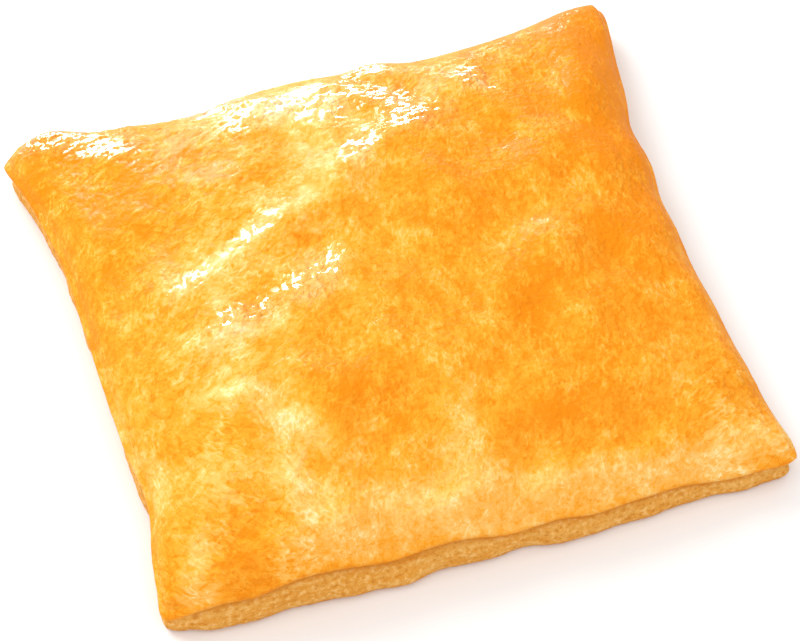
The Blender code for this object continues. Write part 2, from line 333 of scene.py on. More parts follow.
# Paler patches; the narrow strips along the folds are painted light on the folds' flanks that face
# the light
PALE_AND_LIT = (
    (-34.0, -18.8, 7.0, 2.4, -18.0, 1.0),
    (-27.0, -26.5, 6.0, 2.2, -52.0, 0.9),
    (-21.5, -33.0, 4.0, 2.0, -55.0, 0.6),
    (-27.8, -36.5, 1.8, 4.5, 5.0, 1.0),
    (-46.0, -43.0, 2.4, 6.0, -25.0, 0.9),
    (-48.0, -28.0, 1.5, 5.0, -8.0, 0.8),
    (3.0, -38.0, 1.6, 4.5, 0.0, 0.6),
    (-10.0, -46.0, 12.0, 3.0, 0.0, 0.2),
    # By the near right ear: a painted sheen
    (45.0, -47.0, 8.0, 4.0, 0.0, 0.9),
    (55.0, -45.0, 2.5, 6.0, 8.0, 0.7),
    (-52.0, -14.0, 2.5, 12.0, 0.0, 0.6),
    (-32.0, 6.0, 7.0, 2.0, 15.0, 0.7),
    (-19.0, 10.5, 6.0, 2.0, 24.0, 0.6),
    (-7.0, 17.0, 5.0, 2.2, 36.0, 0.35),
    (0.5, 16.0, 5.0, 2.0, 75.0, 0.6),
    (6.5, -8.0, 7.0, 1.2, 100.0, 0.5),
    (-23.0, -28.0, 4.0, 2.4, -50.0, 0.6),
    (3.0, 22.0, 6.0, 2.4, 30.0, 0.3),
    (-29.0, -8.6, 7.0, 2.0, 0.0, 0.9),
    (-18.0, -5.5, 7.0, 1.8, 22.0, 0.5),
    (-12.0, 1.0, 4.0, 3.0, 40.0, 0.4),
    (-46.5, -47.0, 3.0, 5.0, 0.0, 0.4),
    (-50.0, -26.0, 3.0, 14.0, 4.0, 0.3),
    (-40.0, -31.0, 4.0, 6.0, 20.0, 0.5),
    (-7.0, 37.0, 9.0, 4.0, 5.0, 1.0),
)
# Where the skin is crinkled most, the same way
CRINKLED = (
    (-46.5, 46.0, 6.0, 2.6, -15.0, 0.9),
    (-38.5, 40.0, 6.0, 2.4, -50.0, 0.8),
    (-18.0, 44.0, 5.0, 2.4, 0.0, 0.9),
    (-8.0, 37.5, 9.0, 3.4, 8.0, 1.0),
    (1.0, 34.5, 4.0, 3.0, 20.0, 0.9),
    (9.0, 43.5, 4.0, 2.2, 0.0, 0.7),
    (10.5, 34.5, 3.5, 3.0, 40.0, 0.8),
    (12.0, 26.5, 3.0, 4.0, 40.0, 0.9),
    (26.0, 33.5, 3.0, 3.0, 40.0, 1.0),
    (19.5, 28.5, 3.0, 3.0, 40.0, 0.4),
    (1.6, 22.0, 4.0, 2.6, 60.0, 1.0),
    (-20.0, 10.5, 5.0, 2.4, 25.0, 0.6),
    (-13.0, -1.5, 6.0, 4.0, 45.0, 0.9),
    (-27.0, -5.6, 7.0, 2.2, 14.0, 1.0),
    (-33.0, 5.0, 6.0, 2.0, 25.0, 0.5),
)

# Places of nodes in a tree's window
NODE_STEP = (190.0, -150.0)
NODES_IN_COLUMN = 8


# The pastry's form


def bump(s, at, half):
    """Smooth rise to 1 at one place along a side."""
    return np.exp(-(((s - at) / half) ** 2))


def side_curve(depth, bumps, s):
    """Curve along a side that is nought at both ears: one broad bow and its local bumps."""
    local = sum(amount * bump(s, at, half) for at, half, amount in bumps)
    bow = depth * (1.0 - np.abs(s) ** BOW_POWER)
    return bow + local * np.minimum(1.0, BUMP_REACH * (1.0 - np.abs(s)))


def between_ears(values, u, v):
    """Value over the square, from one value at each ear."""
    a, b = (u + 1.0) / 2.0, (v + 1.0) / 2.0
    near = (1.0 - a) * values["near_left"] + a * values["near_right"]
    far = (1.0 - a) * values["far_left"] + a * values["far_right"]
    return (1.0 - b) * near + b * far


def side_amounts(curves, u, v, fade):
    """Each side's curve at u, v, dying away across the square."""
    a, b = (u + 1.0) / 2.0, (v + 1.0) / 2.0
    places = {"near": (u, 1.0 - b), "far": (u, b), "left": (v, 1.0 - a), "right": (v, a)}
    return {
        side: side_curve(curves[side][0], curves[side][1:], s) * weight**fade
        for side, (s, weight) in places.items()
    }


def ripple(x, y, length, seed, count=10):
    """Uneven field of about one wavelength and a spread of 1, as waves that cross at random."""
    draw = np.random.default_rng(seed)
    angles = draw.uniform(0.0, 2.0 * math.pi, count)
    phases = draw.uniform(0.0, 2.0 * math.pi, count)
    lengths = length * draw.uniform(*RIPPLE_SPREAD, count)
    total = np.zeros_like(x)
    for angle, phase, wavelength in zip(angles, phases, lengths):
        along = x * math.cos(angle) + y * math.sin(angle)
        total += np.cos(2.0 * math.pi * along / wavelength + phase)
    return total * math.sqrt(2.0 / count)


def smooth_step(value, low, high):
    """Smooth step from 0 at low to 1 at high."""
    share = np.clip((value - low) / (high - low), 0.0, 1.0)
    return share * share * (3.0 - 2.0 * share)


def plan(u, v):
    """Plan place, mm, of a point at u, v of the square, both from -1 to 1."""
    ear_x = {ear: shift[0] for ear, shift in EAR_SHIFT.items()}
    ear_y = {ear: shift[1] for ear, shift in EAR_SHIFT.items()}
    sag = side_amounts(SIDE_SAG, u, v, SAG_FADE)
    x = u * HALF_WIDTH + between_ears(ear_x, u, v) + sag["left"] - sag["right"]
    y = v * HALF_DEPTH + between_ears(ear_y, u, v) + sag["near"] - sag["far"]
    blunt = 1.0 - between_ears(EAR_CUT, u, v) * np.abs(u * v) ** EAR_BLUNTNESS
    return x * blunt, y * blunt


def crease_height(u, v, x, y):
    """Height, mm, of the crease between the lower layer and the skin."""
    swell_up = sum(side_amounts(CREASE_SWELL, u, v, CREASE_FADE).values())
    length, amount, seed = CREASE_WOBBLE
    return between_ears(EAR_CREASE, u, v) + swell_up + amount * ripple(x, y, length, seed)


def lip_and_skin(u, v, x, y):
    """Insets from the outline, mm, of the lower lip, the crease and the skin's shoulder."""
    lip = EAR_LIP + sum(side_amounts(LIP_SWELL, u, v, LIP_FADE).values())
    soft = np.hypot(lip, LIP_SOFTNESS)
    length, amount, seed = RIM_WOBBLE
    wobble = amount * (ripple(x, y, length, seed) + 1.0)
    lip_in = (soft - lip) / 2.0 + wobble
    skin_in = (soft + lip) / 2.0
    return lip_in, np.maximum(lip_in, skin_in) + CREASE_DEPTH, skin_in


def between_rows(level, rows):
    """Value at a level from 0 to 1 on a smooth curve through the values of evenly spaced rows."""
    last = len(rows) - 1
    row = np.minimum(np.floor(level * last + 1e-6), last - 1).astype(int)
    t = level * last - row
    before, start, end, after = (
        np.choose(np.clip(row + step, 0, last), rows) for step in (-1, 0, 1, 2)
    )
    bend = 2.0 * before - 5.0 * start + 4.0 * end - after
    twist = 3.0 * (start - end) + after - before
    return start + 0.5 * t * (end - before + t * (bend + t * twist))


def rim_profile(level, u, v, x, y):
    """Inset and height, mm, of a rim point at a level from 0, the foot, to 1, the skin's edge."""
    lip_in, crease_in, skin_in = lip_and_skin(u, v, x, y)
    crease = crease_height(u, v, x, y)
    neck = crease_in - lip_in
    insets = (
        lip_in + FOOT_INSET,
        lip_in + LOW_INSET,
        lip_in,
        lip_in + NECK_SHARES[0] * neck,
        lip_in + NECK_SHARES[1] * neck,
        crease_in,
        UNDERCUT_SHARE * crease_in + (1.0 - UNDERCUT_SHARE) * skin_in,
        skin_in,
        skin_in + SKIN_INSET,
    )
    heights = [0.0 * crease] + [share * crease for share in LIP_LEVELS] + [crease]
    heights += [crease + rise for rise in SKIN_RISE]
    return between_rows(level, insets), between_rows(level, heights)


def fold(x, y, start_x, start_y, end_x, end_y, half, height):
    """Soft ridge, or furrow where the height is negative, along a straight line, mm."""
    run = math.hypot(end_x - start_x, end_y - start_y)
    along_x, along_y = (end_x - start_x) / run, (end_y - start_y) / run
    along = (x - start_x) * along_x + (y - start_y) * along_y
    across = (y - start_y) * along_x - (x - start_x) * along_y
    beyond = np.maximum(np.maximum(-along, along - run), 0.0)
    return height * np.exp(-(across**2 + beyond**2) / half**2)


def swell(x, y, at_x, at_y, radius, height):
    """Soft round rise, or hollow where the height is negative, mm."""
    return height * np.exp(-((x - at_x) ** 2 + (y - at_y) ** 2) / radius**2)


def skin_relief(x, y):
    """Height of the skin's undulations, swells and folds, mm."""
    relief = sum(height * ripple(x, y, length, seed) for length, height, seed in UNDULATIONS)
    relief = relief + sum(swell(x, y, *size) for size in SWELLS)
    return relief + sum(fold(x, y, *line) for line in FOLDS)


def in_from_rim(u, v):
    """Distance in from the nearest side, mm, rounded round the ears."""
    to_side = np.maximum((1.0 - np.abs(u)) * HALF_WIDTH, MM)
    to_end = np.maximum((1.0 - np.abs(v)) * HALF_DEPTH, MM)
    return (to_side**-3.0 + to_end**-3.0) ** (-1.0 / 3.0)


def pillow(u, v, x, y):
    """Height of the top skin over its own edge, mm."""
    inside = in_from_rim(u, v)
    roll = np.sqrt(1.0 - (1.0 - np.clip(inside / ROLL_RADIUS, 0.0, 1.0)) ** 2)
    full = (1.0 - np.abs(u) ** DOME_POWER) * (1.0 - np.abs(v) ** DOME_POWER)
    relief = skin_relief(x, y) * smooth_step(inside, *CALM_RIM)
    return ROLL_RISE * roll + DOME_RISE * full**DOME_FULLNESS + relief


def crowd(s):
    """Moves the cuts closer together near the rim."""
    return (1.0 - EDGE_CROWDING) * s + EDGE_CROWDING * np.sin(math.pi * s / 2.0)


def pastry_form(cube):
    """Places on the pastry, mm, of points on a cube from -1 to 1: top, rim and foot."""
    u, v, w = crowd(cube[:, 0]), crowd(cube[:, 1]), cube[:, 2]
    x, y = plan(u, v)
    inset, height = rim_profile((w + 1.0) / 2.0, u, v, x, y)
    on_top, on_foot = w > ON_FACE, w < -ON_FACE
    within = np.maximum(np.abs(u), np.abs(v))
    inset = np.where(on_top | on_foot, inset * within**INSET_FADE, inset)
    height = np.where(on_top, height + pillow(u, v, x, y), height)
    x = x * (1.0 - inset / HALF_WIDTH) + CENTRE_SHIFT[0]
    y = y * (1.0 - inset / HALF_DEPTH) + CENTRE_SHIFT[1]
    return np.stack((x, y, height), axis=1)


# The crust's mesh, and what its relief and its finish read from it


def patches(places, x, y):
    """Share, from 0 to 1, of soft oval patches at a point."""
    total = np.zeros_like(x)
    for at_x, at_y, along, across, degrees, amount in places:
        turn = math.radians(degrees)
        a = (x - at_x) * math.cos(turn) + (y - at_y) * math.sin(turn)
        b = (y - at_y) * math.cos(turn) - (x - at_x) * math.sin(turn)
        total += amount * np.exp(-((a / along) ** 2) - (b / across) ** 2)
    return np.minimum(total, 1.0)


def comb_field(x, y):
    """The wrinkles' direction, as cosine and sine of twice its angle, and their strength."""
    field = np.zeros((len(x), 3))
    weight_sum = np.full(len(x), COMB_STILLNESS)
    for at_x, at_y, radius, degrees, strength in COMBS:
        turn = 2.0 * math.radians(degrees)
        weight = np.exp(-((x - at_x) ** 2 + (y - at_y) ** 2) / radius**2)
        field += weight[:, None] * np.array((math.cos(turn), math.sin(turn), strength))
        weight_sum += weight
    field /= weight_sum[:, None]
    length = np.maximum(np.hypot(field[:, 0], field[:, 1]), COMB_LEAST)
    return np.stack((field[:, 0] / length, field[:, 1] / length, field[:, 2]), axis=1)


def cut_cube(cuts, rows):
    """Cube from -1 to 1 with a grid on its top, rows up its sides and one face for a foot."""
    bm = bmesh.new()
    bmesh.ops.create_grid(bm, x_segments=cuts, y_segments=cuts, size=1.0)
    for vert in bm.verts:
        vert.co.z = 1.0
    for row in range(1, rows + 1):
        rim = [edge for edge in bm.edges if edge.is_boundary]
        skirt = bmesh.ops.extrude_edge_only(bm, edges=rim)["geom"]
        for item in skirt:
            if isinstance(item, bmesh.types.BMVert):
                item.co.z = 1.0 - 2.0 * row / rows
    rim = [edge for edge in bm.edges if edge.is_boundary]
    bmesh.ops.contextual_create(bm, geom=rim)
    bmesh.ops.recalc_face_normals(bm, faces=bm.faces)
    return bm


def store(mesh, name, kind, field, values):
    """Keeps a number or a vector for each point of a mesh, under a name."""
    attribute = mesh.attributes.new(name, kind, "POINT")
    attribute.data.foreach_set(field, np.ascontiguousarray(values, np.float32).ravel())


def shaded_lip(cube, above):
    """Painted shade, from 0 to 1, that browns the skin's lip along the right side and most of the
    near one.
    """
    right = smooth_step(cube[:, 0], *LIP_AT_RIGHT)
    near = smooth_step(-cube[:, 1], *LIP_AT_NEAR) * smooth_step(cube[:, 0], *LIP_ALONG_NEAR)
    return (1.0 - smooth_step(above, *LIP_ENDS)) * np.maximum(right, near)


def crust_mesh(sizes):
    """Fine mesh of the pastry's form, with the fields that its relief and its finish read, painted
    light and shade among them.
    """
    bm = cut_cube(sizes.top_cuts, sizes.rim_rows)
    mesh = bpy.data.meshes.new(PIECE)
    bm.to_mesh(mesh)
    bm.free()
    flat = np.empty(len(mesh.vertices) * 3)
    mesh.vertices.foreach_get("co", flat)
    cube = flat.reshape(-1, 3)
    placed = pastry_form(cube)
    mesh.vertices.foreach_set("co", (placed * MM).ravel())
    x, y = placed[:, 0], placed[:, 1]
    level = (cube[:, 2] + 1.0) / 2.0
    above = level - CREASE_LEVEL
    skin = smooth_step(above, *SKIN_STARTS)
    # Painted shade: a dark band along the crease, and a softer one over the skin that hangs above
    # it
    hang_shade = (1.0 - smooth_step(above, *SKIN_HANGS)) * skin
    crease = np.maximum(bump(above, *CREASE_SHADE_BAND), HANG_SHADE * hang_shade)
    inside = in_from_rim(crowd(cube[:, 0]), crowd(cube[:, 1]))
    crinkle = LEAST_CRINKLE + (1.0 - LEAST_CRINKLE) * patches(CRINKLED, x, y)
    # Tones of the skin, with the painted light and shade of the pale and browned patches
    tones = np.stack([patches(places, x, y) for places in (BROWNED_AND_SHADED, YELLOWED, PALE_AND_LIT)], axis=1)
    # Painted shade under the skin's lip, along the right and near sides: browner and less yellow
    lip = shaded_lip(cube, above)
    tones[:, 0] = np.maximum(tones[:, 0], LIP_SHADE_BROWNING * lip)
    tones[:, 1] = tones[:, 1] * (1.0 - LIP_SHADE_YELLOW_LOSS * lip)
    store(mesh, "skin", "FLOAT", "value", skin)
    store(mesh, "inside", "FLOAT", "value", inside)
    store(mesh, "crinkle", "FLOAT", "value", crinkle)
    # The crease field is painted shade, in the crease and under the hanging skin
    store(mesh, "crease", "FLOAT", "value", crease)
    store(mesh, "comb", "FLOAT_VECTOR", "vector", comb_field(x, y))
    store(mesh, "tones", "FLOAT_VECTOR", "vector", tones)
    mesh.update()
    mesh.shade_smooth()
    return mesh


# Node trees


class Wire:
    """One output of a node, so that sums on it read as Python and add Math nodes."""

    def __init__(self, bench, socket):
        self.bench = bench
        self.socket = socket

    def maths(self, operation, *values):
        numbered = dict(enumerate(values))
        return self.bench.node("ShaderNodeMath", {"operation": operation}, numbered)

    def __add__(self, other):
        return self.maths("ADD", self, other)

    __radd__ = __add__

    def __sub__(self, other):
        return self.maths("SUBTRACT", self, other)

    def __rsub__(self, other):
        return self.maths("SUBTRACT", other, self)

    def __mul__(self, other):
        return self.maths("MULTIPLY", self, other)

    __rmul__ = __mul__

    def __truediv__(self, other):
        return self.maths("DIVIDE", self, other)

    def __pow__(self, other):
        return self.maths("POWER", self, other)

    def __abs__(self):
        return self.maths("ABSOLUTE", self)

    def most(self, other):
        return self.maths("MAXIMUM", self, other)

    def step(self, low, high):
        """Smooth step from 0 at low to 1 at high."""
        return self.bench.node(
            "ShaderNodeMapRange", {"interpolation_type": "SMOOTHSTEP"}, {0: self, 1: low, 2: high}
        )


class Bench:
    """Adds the nodes of one tree."""

    def __init__(self, tree):
        self.tree = tree
        self.count = 0

    def node(self, kind, settings=None, values=None, output=0):
        """Adds a node, with its settings first and then its sockets' values or links."""
        made = self.tree.nodes.new(kind)
        column, row = divmod(self.count, NODES_IN_COLUMN)
        made.location = (column * NODE_STEP[0], row * NODE_STEP[1])
        self.count += 1
        for name, value in (settings or {}).items():
            setattr(made, name, value)
        for key, value in (values or {}).items():
            if isinstance(value, Wire):
                self.tree.links.new(value.socket, made.inputs[key])
            else:
                made.inputs[key].default_value = value
        return Wire(self, made.outputs[output]) if made.outputs else made

    def xyz(self, vector):
        """The three numbers of a vector."""
        parts = self.node("ShaderNodeSeparateXYZ", None, {0: vector}).socket.node
        return tuple(Wire(self, socket) for socket in parts.outputs)

    def attribute(self, name, output):
        """A field of the mesh, as a vector where output is 1 and as a number where it is 2."""
        return self.node("ShaderNodeAttribute", {"attribute_name": name}, output=output)

    def vector(self, x, y, z):
        return self.node("ShaderNodeCombineXYZ", None, {0: x, 1: y, 2: z})

    def scaled(self, vector, factor):
        return self.node("ShaderNodeVectorMath", {"operation": "SCALE"}, {0: vector, 3: factor})

    def moved(self, vector, other):
        return self.node("ShaderNodeVectorMath", {"operation": "ADD"}, {0: vector, 1: other})

    def noise(self, vector, size, detail, roughness, distortion):
        """Soft noise from 0 to 1 whose grains are about one size, in the vector's own unit."""
        return self.node(
            "ShaderNodeTexNoise",
            None,
            {
                "Vector": vector,
                "Scale": 1.0 / size,
                "Detail": detail,
                "Roughness": roughness,
                "Distortion": distortion,
            },
        )

    def ramp(self, factor, stops):
        """Colour at a factor, from stops of (factor, colour)."""
        made = self.node("ShaderNodeValToRGB", None, {0: factor})
        band = made.socket.node.color_ramp
        while len(band.elements) < len(stops):
            band.elements.new(0.5)
        for element, (at, tint) in zip(band.elements, stops):
            element.position = at
            element.color = tint
        return made

    def mix(self, factor, first, second):
        """Mix of two colours."""
        colours = {0: factor, 6: first, 7: second}
        return self.node("ShaderNodeMix", {"data_type": "RGBA"}, colours, output=2)


def combed(bench, place, comb, across, along, shape):
    """Noise drawn out the way the skin's wrinkles run, blended from a few fixed directions."""
    twice_cos, twice_sin, _ = bench.xyz(comb)
    x, y, z = bench.xyz(place)
    total, weights = 0.0, 0.0
    for number, degrees in enumerate(COMB_ANGLES):
        turn = math.radians(degrees)
        match = twice_cos * math.cos(2.0 * turn) + twice_sin * math.sin(2.0 * turn)
        weight = match.most(0.0) ** COMB_SHARPNESS + TINY
        run = x * math.cos(turn) + y * math.sin(turn)
        side = y * math.cos(turn) - x * math.sin(turn)
        stretched = bench.vector(run / along + COMB_OFFSET * number, side / across, z / across)
        total = weight * shape(bench.noise(stretched, *COMBED_NOISE)) + total
        weights = weight + weights
    return total / weights


def combed_ridges(bench, place, comb, across, along, width):
    """Worm-like ridges from 0 to 1."""
    return combed(
        bench, place, comb, across, along, lambda grain: 1.0 - abs(grain - 0.5).step(0.0, width)
    )


def combed_flecks(bench, place, comb, across, along, edge):
    """Flecks from -0.5 to 0.5, with crisp edges where edge is small."""
    return combed(
        bench, place, comb, across, along, lambda grain: grain.step(0.5 - edge, 0.5 + edge) - 0.5
    )


# Attributes that the relief tree reads, and its inputs with the property that sets each
FIELDS = (("skin", "FLOAT"), ("inside", "FLOAT"), ("crinkle", "FLOAT"), ("comb", "FLOAT_VECTOR"))
RELIEF_INPUTS = {
    "Wrinkle height": "wrinkle_height",
    "Blister height": "blister_height",
    "Lump height": "lump_height",
    "Leaf height": "leaf_height",
    "Seed": "seed",
}


def relief_height(bench, place, field, inputs):
    """How far each point is raised, mm: wrinkles, blisters and lumps, and leaves below the skin."""
    _, _, comb_strength = bench.xyz(field["comb"])
    x, y, z = bench.xyz(place)
    cover = bench.noise(place, *RAISED_COVER).step(*RELIEF_COVER)
    wave = combed_ridges(bench, place, field["comb"], *WAVES)
    fine = combed_ridges(bench, place, field["comb"], *WRINKLES)
    wrinkles = (wave * WAVE_SHARE + fine * WRINKLE_SHARE - RIDGE_MIDDLE) * inputs["Wrinkle height"]
    wrinkles = wrinkles * (comb_strength * (BARE_SHARE + cover * (1.0 - BARE_SHARE)))
    blisters = (bench.noise(place, *RAISED_BLISTERS) - 0.5) * inputs["Blister height"] * 2.0
    lumps = (bench.noise(place, *RAISED_LUMPS) - 0.5) * inputs["Lump height"] * 2.0
    calm = field["inside"].step(*RIM_TO_FULL) * (1.0 - RIM_RELIEF) + RIM_RELIEF
    top = (wrinkles + blisters * field["crinkle"] + lumps) * calm
    length, thickness = RAISED_LEAVES
    flat = bench.vector(x / length, y / length, z / thickness)
    leaves = bench.noise(flat, *RAISED_LEAF_NOISE) - 0.5
    crumbs = bench.noise(place, *RAISED_CRUMBS) - 0.5
    side = (leaves + crumbs * CRUMB_SHARE) * inputs["Leaf height"] * 2.0
    return (top * field["skin"] + side * (1.0 - field["skin"])) * z.step(*OFF_FOOT)


def relief_tree():
    """Geometry Nodes that raise the crust's relief along its normals."""
    tree = bpy.data.node_groups.new("crust_relief", "GeometryNodeTree")
    face = tree.interface
    face.new_socket("Geometry", in_out="INPUT", socket_type="NodeSocketGeometry")
    for name in RELIEF_INPUTS:
        face.new_socket(name, in_out="INPUT", socket_type="NodeSocketFloat")
    face.new_socket("Crust", in_out="INPUT", socket_type="NodeSocketMaterial")
    face.new_socket("Geometry", in_out="OUTPUT", socket_type="NodeSocketGeometry")
    bench = Bench(tree)
    start = bench.node("NodeGroupInput").socket.node
    inputs = {socket.name: Wire(bench, socket) for socket in start.outputs if socket.name}
    field = {
        name: bench.node("GeometryNodeInputNamedAttribute", {"data_type": kind}, {"Name": name})
        for name, kind in FIELDS
    }
    place = bench.scaled(bench.node("GeometryNodeInputPosition"), 1.0 / MM)
    seed_x, seed_y = (inputs["Seed"] * step for step in SEED_STEP)
    place = bench.moved(place, bench.vector(seed_x, seed_y, 0.0))
    height = relief_height(bench, place, field, inputs)
    shift = bench.scaled(bench.node("GeometryNodeInputNormal"), height * MM)
    crust = {"Geometry": inputs["Geometry"], "Offset": shift}
    for kind, settings in (
        ("GeometryNodeSetPosition", {}),
        ("GeometryNodeRealizeInstances", {}),
        ("GeometryNodeSetMaterial", {"Material": inputs["Crust"]}),
    ):
        crust = {"Geometry": bench.node(kind, None, {**crust, **settings})}
    bench.node("NodeGroupOutput", None, {0: crust["Geometry"]})
    return tree


def raise_relief(crust, sizes, material):
    """Runs the relief tree on the crust and keeps its result as a plain mesh."""
    modifier = crust.modifiers.new("relief", "NODES")
    modifier.node_group = relief_tree()
    items = modifier.node_group.interface.items_tree
    sockets = {item.name: item.identifier for item in items if item.in_out == "INPUT"}
    for name, prop in RELIEF_INPUTS.items():
        value = getattr(sizes, prop)
        modifier[sockets[name]] = float(value) if name == "Seed" else value / MM
    modifier[sockets["Crust"]] = material
    bpy.context.view_layer.update()
    evaluated = crust.evaluated_get(bpy.context.evaluated_depsgraph_get())
    raised = bpy.data.meshes.new_from_object(evaluated)
    smooth = crust.data
    crust.modifiers.remove(modifier)
    crust.data = raised
    bpy.data.meshes.remove(smooth)
    raised.name = PIECE


def keep_in_box(mesh):
    """Presses the finest relief back inside the solid's own box."""
    low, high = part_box(NODE)
    flat = np.empty(len(mesh.vertices) * 3)
    mesh.vertices.foreach_get("co", flat)
    held = np.clip(flat.reshape(-1, 3), np.array(low), np.array(high))
    mesh.vertices.foreach_set("co", held.ravel())
    mesh.update()


def skin_bake_and_light(bench, place, comb, tones, crinkle, cover, fine, wave):
    """How pale the skin is painted, for less baking and for painted light and shade, from 0 for
    browned to 1 for cream.
    """
    browned, yellowed, pale = bench.xyz(tones)
    anywhere, covered, crinkled = CREST_HIGHLIGHTS
    crest_highlight = anywhere + cover * covered + crinkle * crinkled
    # The browned and pale patches are partly painted shade and light
    shares = {
        "browned": browned,
        "yellowed": yellowed,
        "pale": pale,
        # Painted sheen round the glints where the skin is crinkled
        "crinkled": crinkle,
        "blotches": bench.noise(place, *BLOTCHES) - 0.5,
        "mottling": bench.noise(place, *MOTTLING) - 0.5,
        "specks": bench.noise(place, *SPECKS) - 0.5,
        "flecks": combed_flecks(bench, place, comb, *FLECKS),
        "flakes": combed_flecks(bench, place, comb, *FLAKES),
        # Painted highlights on the ridges' crests, and painted shade along the thin dark lines
        "wrinkles": fine * crest_highlight,
        "waves": wave * crest_highlight,
        "shade_lines": combed_ridges(bench, place, comb, *SHADE_LINES) * (1.0 - cover * SHADE_LINE_FADE),
    }
    bake_and_light = BAKE_AND_LIGHT["skin"]
    for name, share in shares.items():
        bake_and_light = share * BAKE_AND_LIGHT[name] + bake_and_light
    return bake_and_light


def dough_colour(bench, place, crumb, colours):
    """Colour of the lower layer: pale and darker leaves, crumbs, and a browned foot."""
    x, y, z = bench.xyz(place)
    length, thickness = LEAVES
    flat = bench.vector(x / length, y / length, z / thickness)
    leaf = bench.noise(flat, *LEAF_NOISE)
    pale_from, pale_to, pale_share = PALE_CRUMBS
    dark_to, dark_from, dark_share = DARK_CRUMBS
    foot_to, foot_from, foot_share = BROWN_FOOT
    dough = bench.mix(leaf.step(*PALE_LEAVES), tuple(colours.dough), tuple(colours.dough_pale))
    pale_crumb = crumb.step(pale_from, pale_to) * pale_share
    dark_crumb = (1.0 - crumb.step(dark_to, dark_from)) * dark_share
    foot = (1.0 - z.step(foot_to, foot_from)) * foot_share
    dough = bench.mix(pale_crumb, dough, tuple(colours.crumb))
    dough = bench.mix(dark_crumb, dough, tuple(colours.foot))
    return bench.mix(foot, dough, tuple(colours.foot))


def crust_material(colours, sizes):
    """Glazed crust: browned and pale patches, partly painted light and shade, fine mottling, wet
    glaze, painted shade in the crease, and a matt lower layer.
    """
    material = bpy.data.materials.new(SLOT)
    material.use_nodes = True
    tree = material.node_tree
    tree.nodes.clear()
    bench = Bench(tree)
    place = bench.scaled(bench.node("ShaderNodeTexCoord", output=3), 1.0 / MM)
    seed_x, seed_y = (sizes.seed * step for step in SEED_STEP)
    place = bench.moved(place, (seed_x, seed_y, 0.0))
    skin, crinkle, crease = (bench.attribute(name, 2) for name in ("skin", "crinkle", "crease"))
    comb, tones = (bench.attribute(name, 1) for name in ("comb", "tones"))
    cover = bench.noise(place, *COVER).step(*SKIN_COVER)
    fine = combed_ridges(bench, place, comb, *WRINKLES)
    wave = combed_ridges(bench, place, comb, *WAVES)
    crumb = bench.noise(place, *CRUMBS)

    bake_and_light = skin_bake_and_light(bench, place, comb, tones, crinkle, cover, fine, wave)
    dough = dough_colour(bench, place, crumb, colours)
    colour = bench.mix(skin, dough, bench.ramp(bake_and_light, colours.stops()))
    # Painted shade in the crease and under the hanging skin, in the foot's colour
    colour = bench.mix(crease * CREASE_SHADE, colour, tuple(colours.foot))

    even, varied = SKIN_ROUGHNESS
    rough = (even + bench.noise(place, *DULLNESS) * varied) * skin + (1.0 - skin) * SIDE_ROUGHNESS
    glaze = skin * (DRY_GLAZE + crinkle.step(*WET) * (1.0 - DRY_GLAZE)) * colours.glaze

    grain = bench.noise(place, *GRAIN) - 0.5
    skin_bump = grain * (SKIN_GRAIN + crinkle * CRINKLED_GRAIN)
    side_bump = (crumb - 0.5 + grain) * SIDE_GRAIN
    bumps = skin_bump * skin + side_bump * (1.0 - skin)
    normal = bench.node(
        "ShaderNodeBump",
        None,
        {"Strength": 1.0, "Distance": sizes.grain_height, "Height": bumps},
    )
    shader = bench.node(
        "ShaderNodeBsdfPrincipled",
        None,
        {
            "Base Color": colour,
            "Roughness": rough,
            "Specular IOR Level": colours.sheen,
            "Coat Weight": glaze,
            "Coat Roughness": colours.glaze_roughness,
            "Normal": normal,
        },
    )
    bench.node("ShaderNodeOutputMaterial", None, {"Surface": shader})
    return material


# What a user may change


def metres(name, description, default):
    return FloatProperty(
        name=name, description=description, default=default, min=0.0, unit="LENGTH", precision=5
    )


def fraction(name, description, default):
    return FloatProperty(name=name, description=description, default=default, min=0.0, max=1.0)


def whole_number(name, description, default, low):
    return IntProperty(name=name, description=description, default=default, min=low)


def power(name, description, default):
    return FloatProperty(
        name=name, description=description, default=default, min=0.0, unit="POWER"
    )


def angle(name, description, degrees):
    return FloatProperty(
        name=name, description=description, default=math.radians(degrees), subtype="ANGLE"
    )


def paint(name, description, default):
    return FloatVectorProperty(
        name=name,
        description=description,
        default=default,
        size=4,
        min=0.0,
        max=1.0,
        subtype="COLOR",
    )


class PastrySizes(bpy.types.PropertyGroup):
    """Sizes of the crust's mesh and its fine relief."""

    top_cuts: whole_number("Top cuts", "Faces along each side of the top", 264, 8)
    rim_rows: whole_number("Rim rows", "Rows of faces up the rim", 20, 8)
    wrinkle_height: metres("Wrinkle height", "Height of the skin's wrinkles", 0.00028)
    blister_height: metres("Blister height", "Height of the small blisters", 0.00105)
    lump_height: metres("Lump height", "Height of the broader lumps", 0.00012)
    leaf_height: metres("Leaf height", "How far the lower layer's leaves stand out", 0.00022)
    grain_height: metres("Grain height", "Depth of the finest, shaded grain", 0.00007)
    seed: whole_number("Seed", "Which of many like crusts is made", 4, 0)


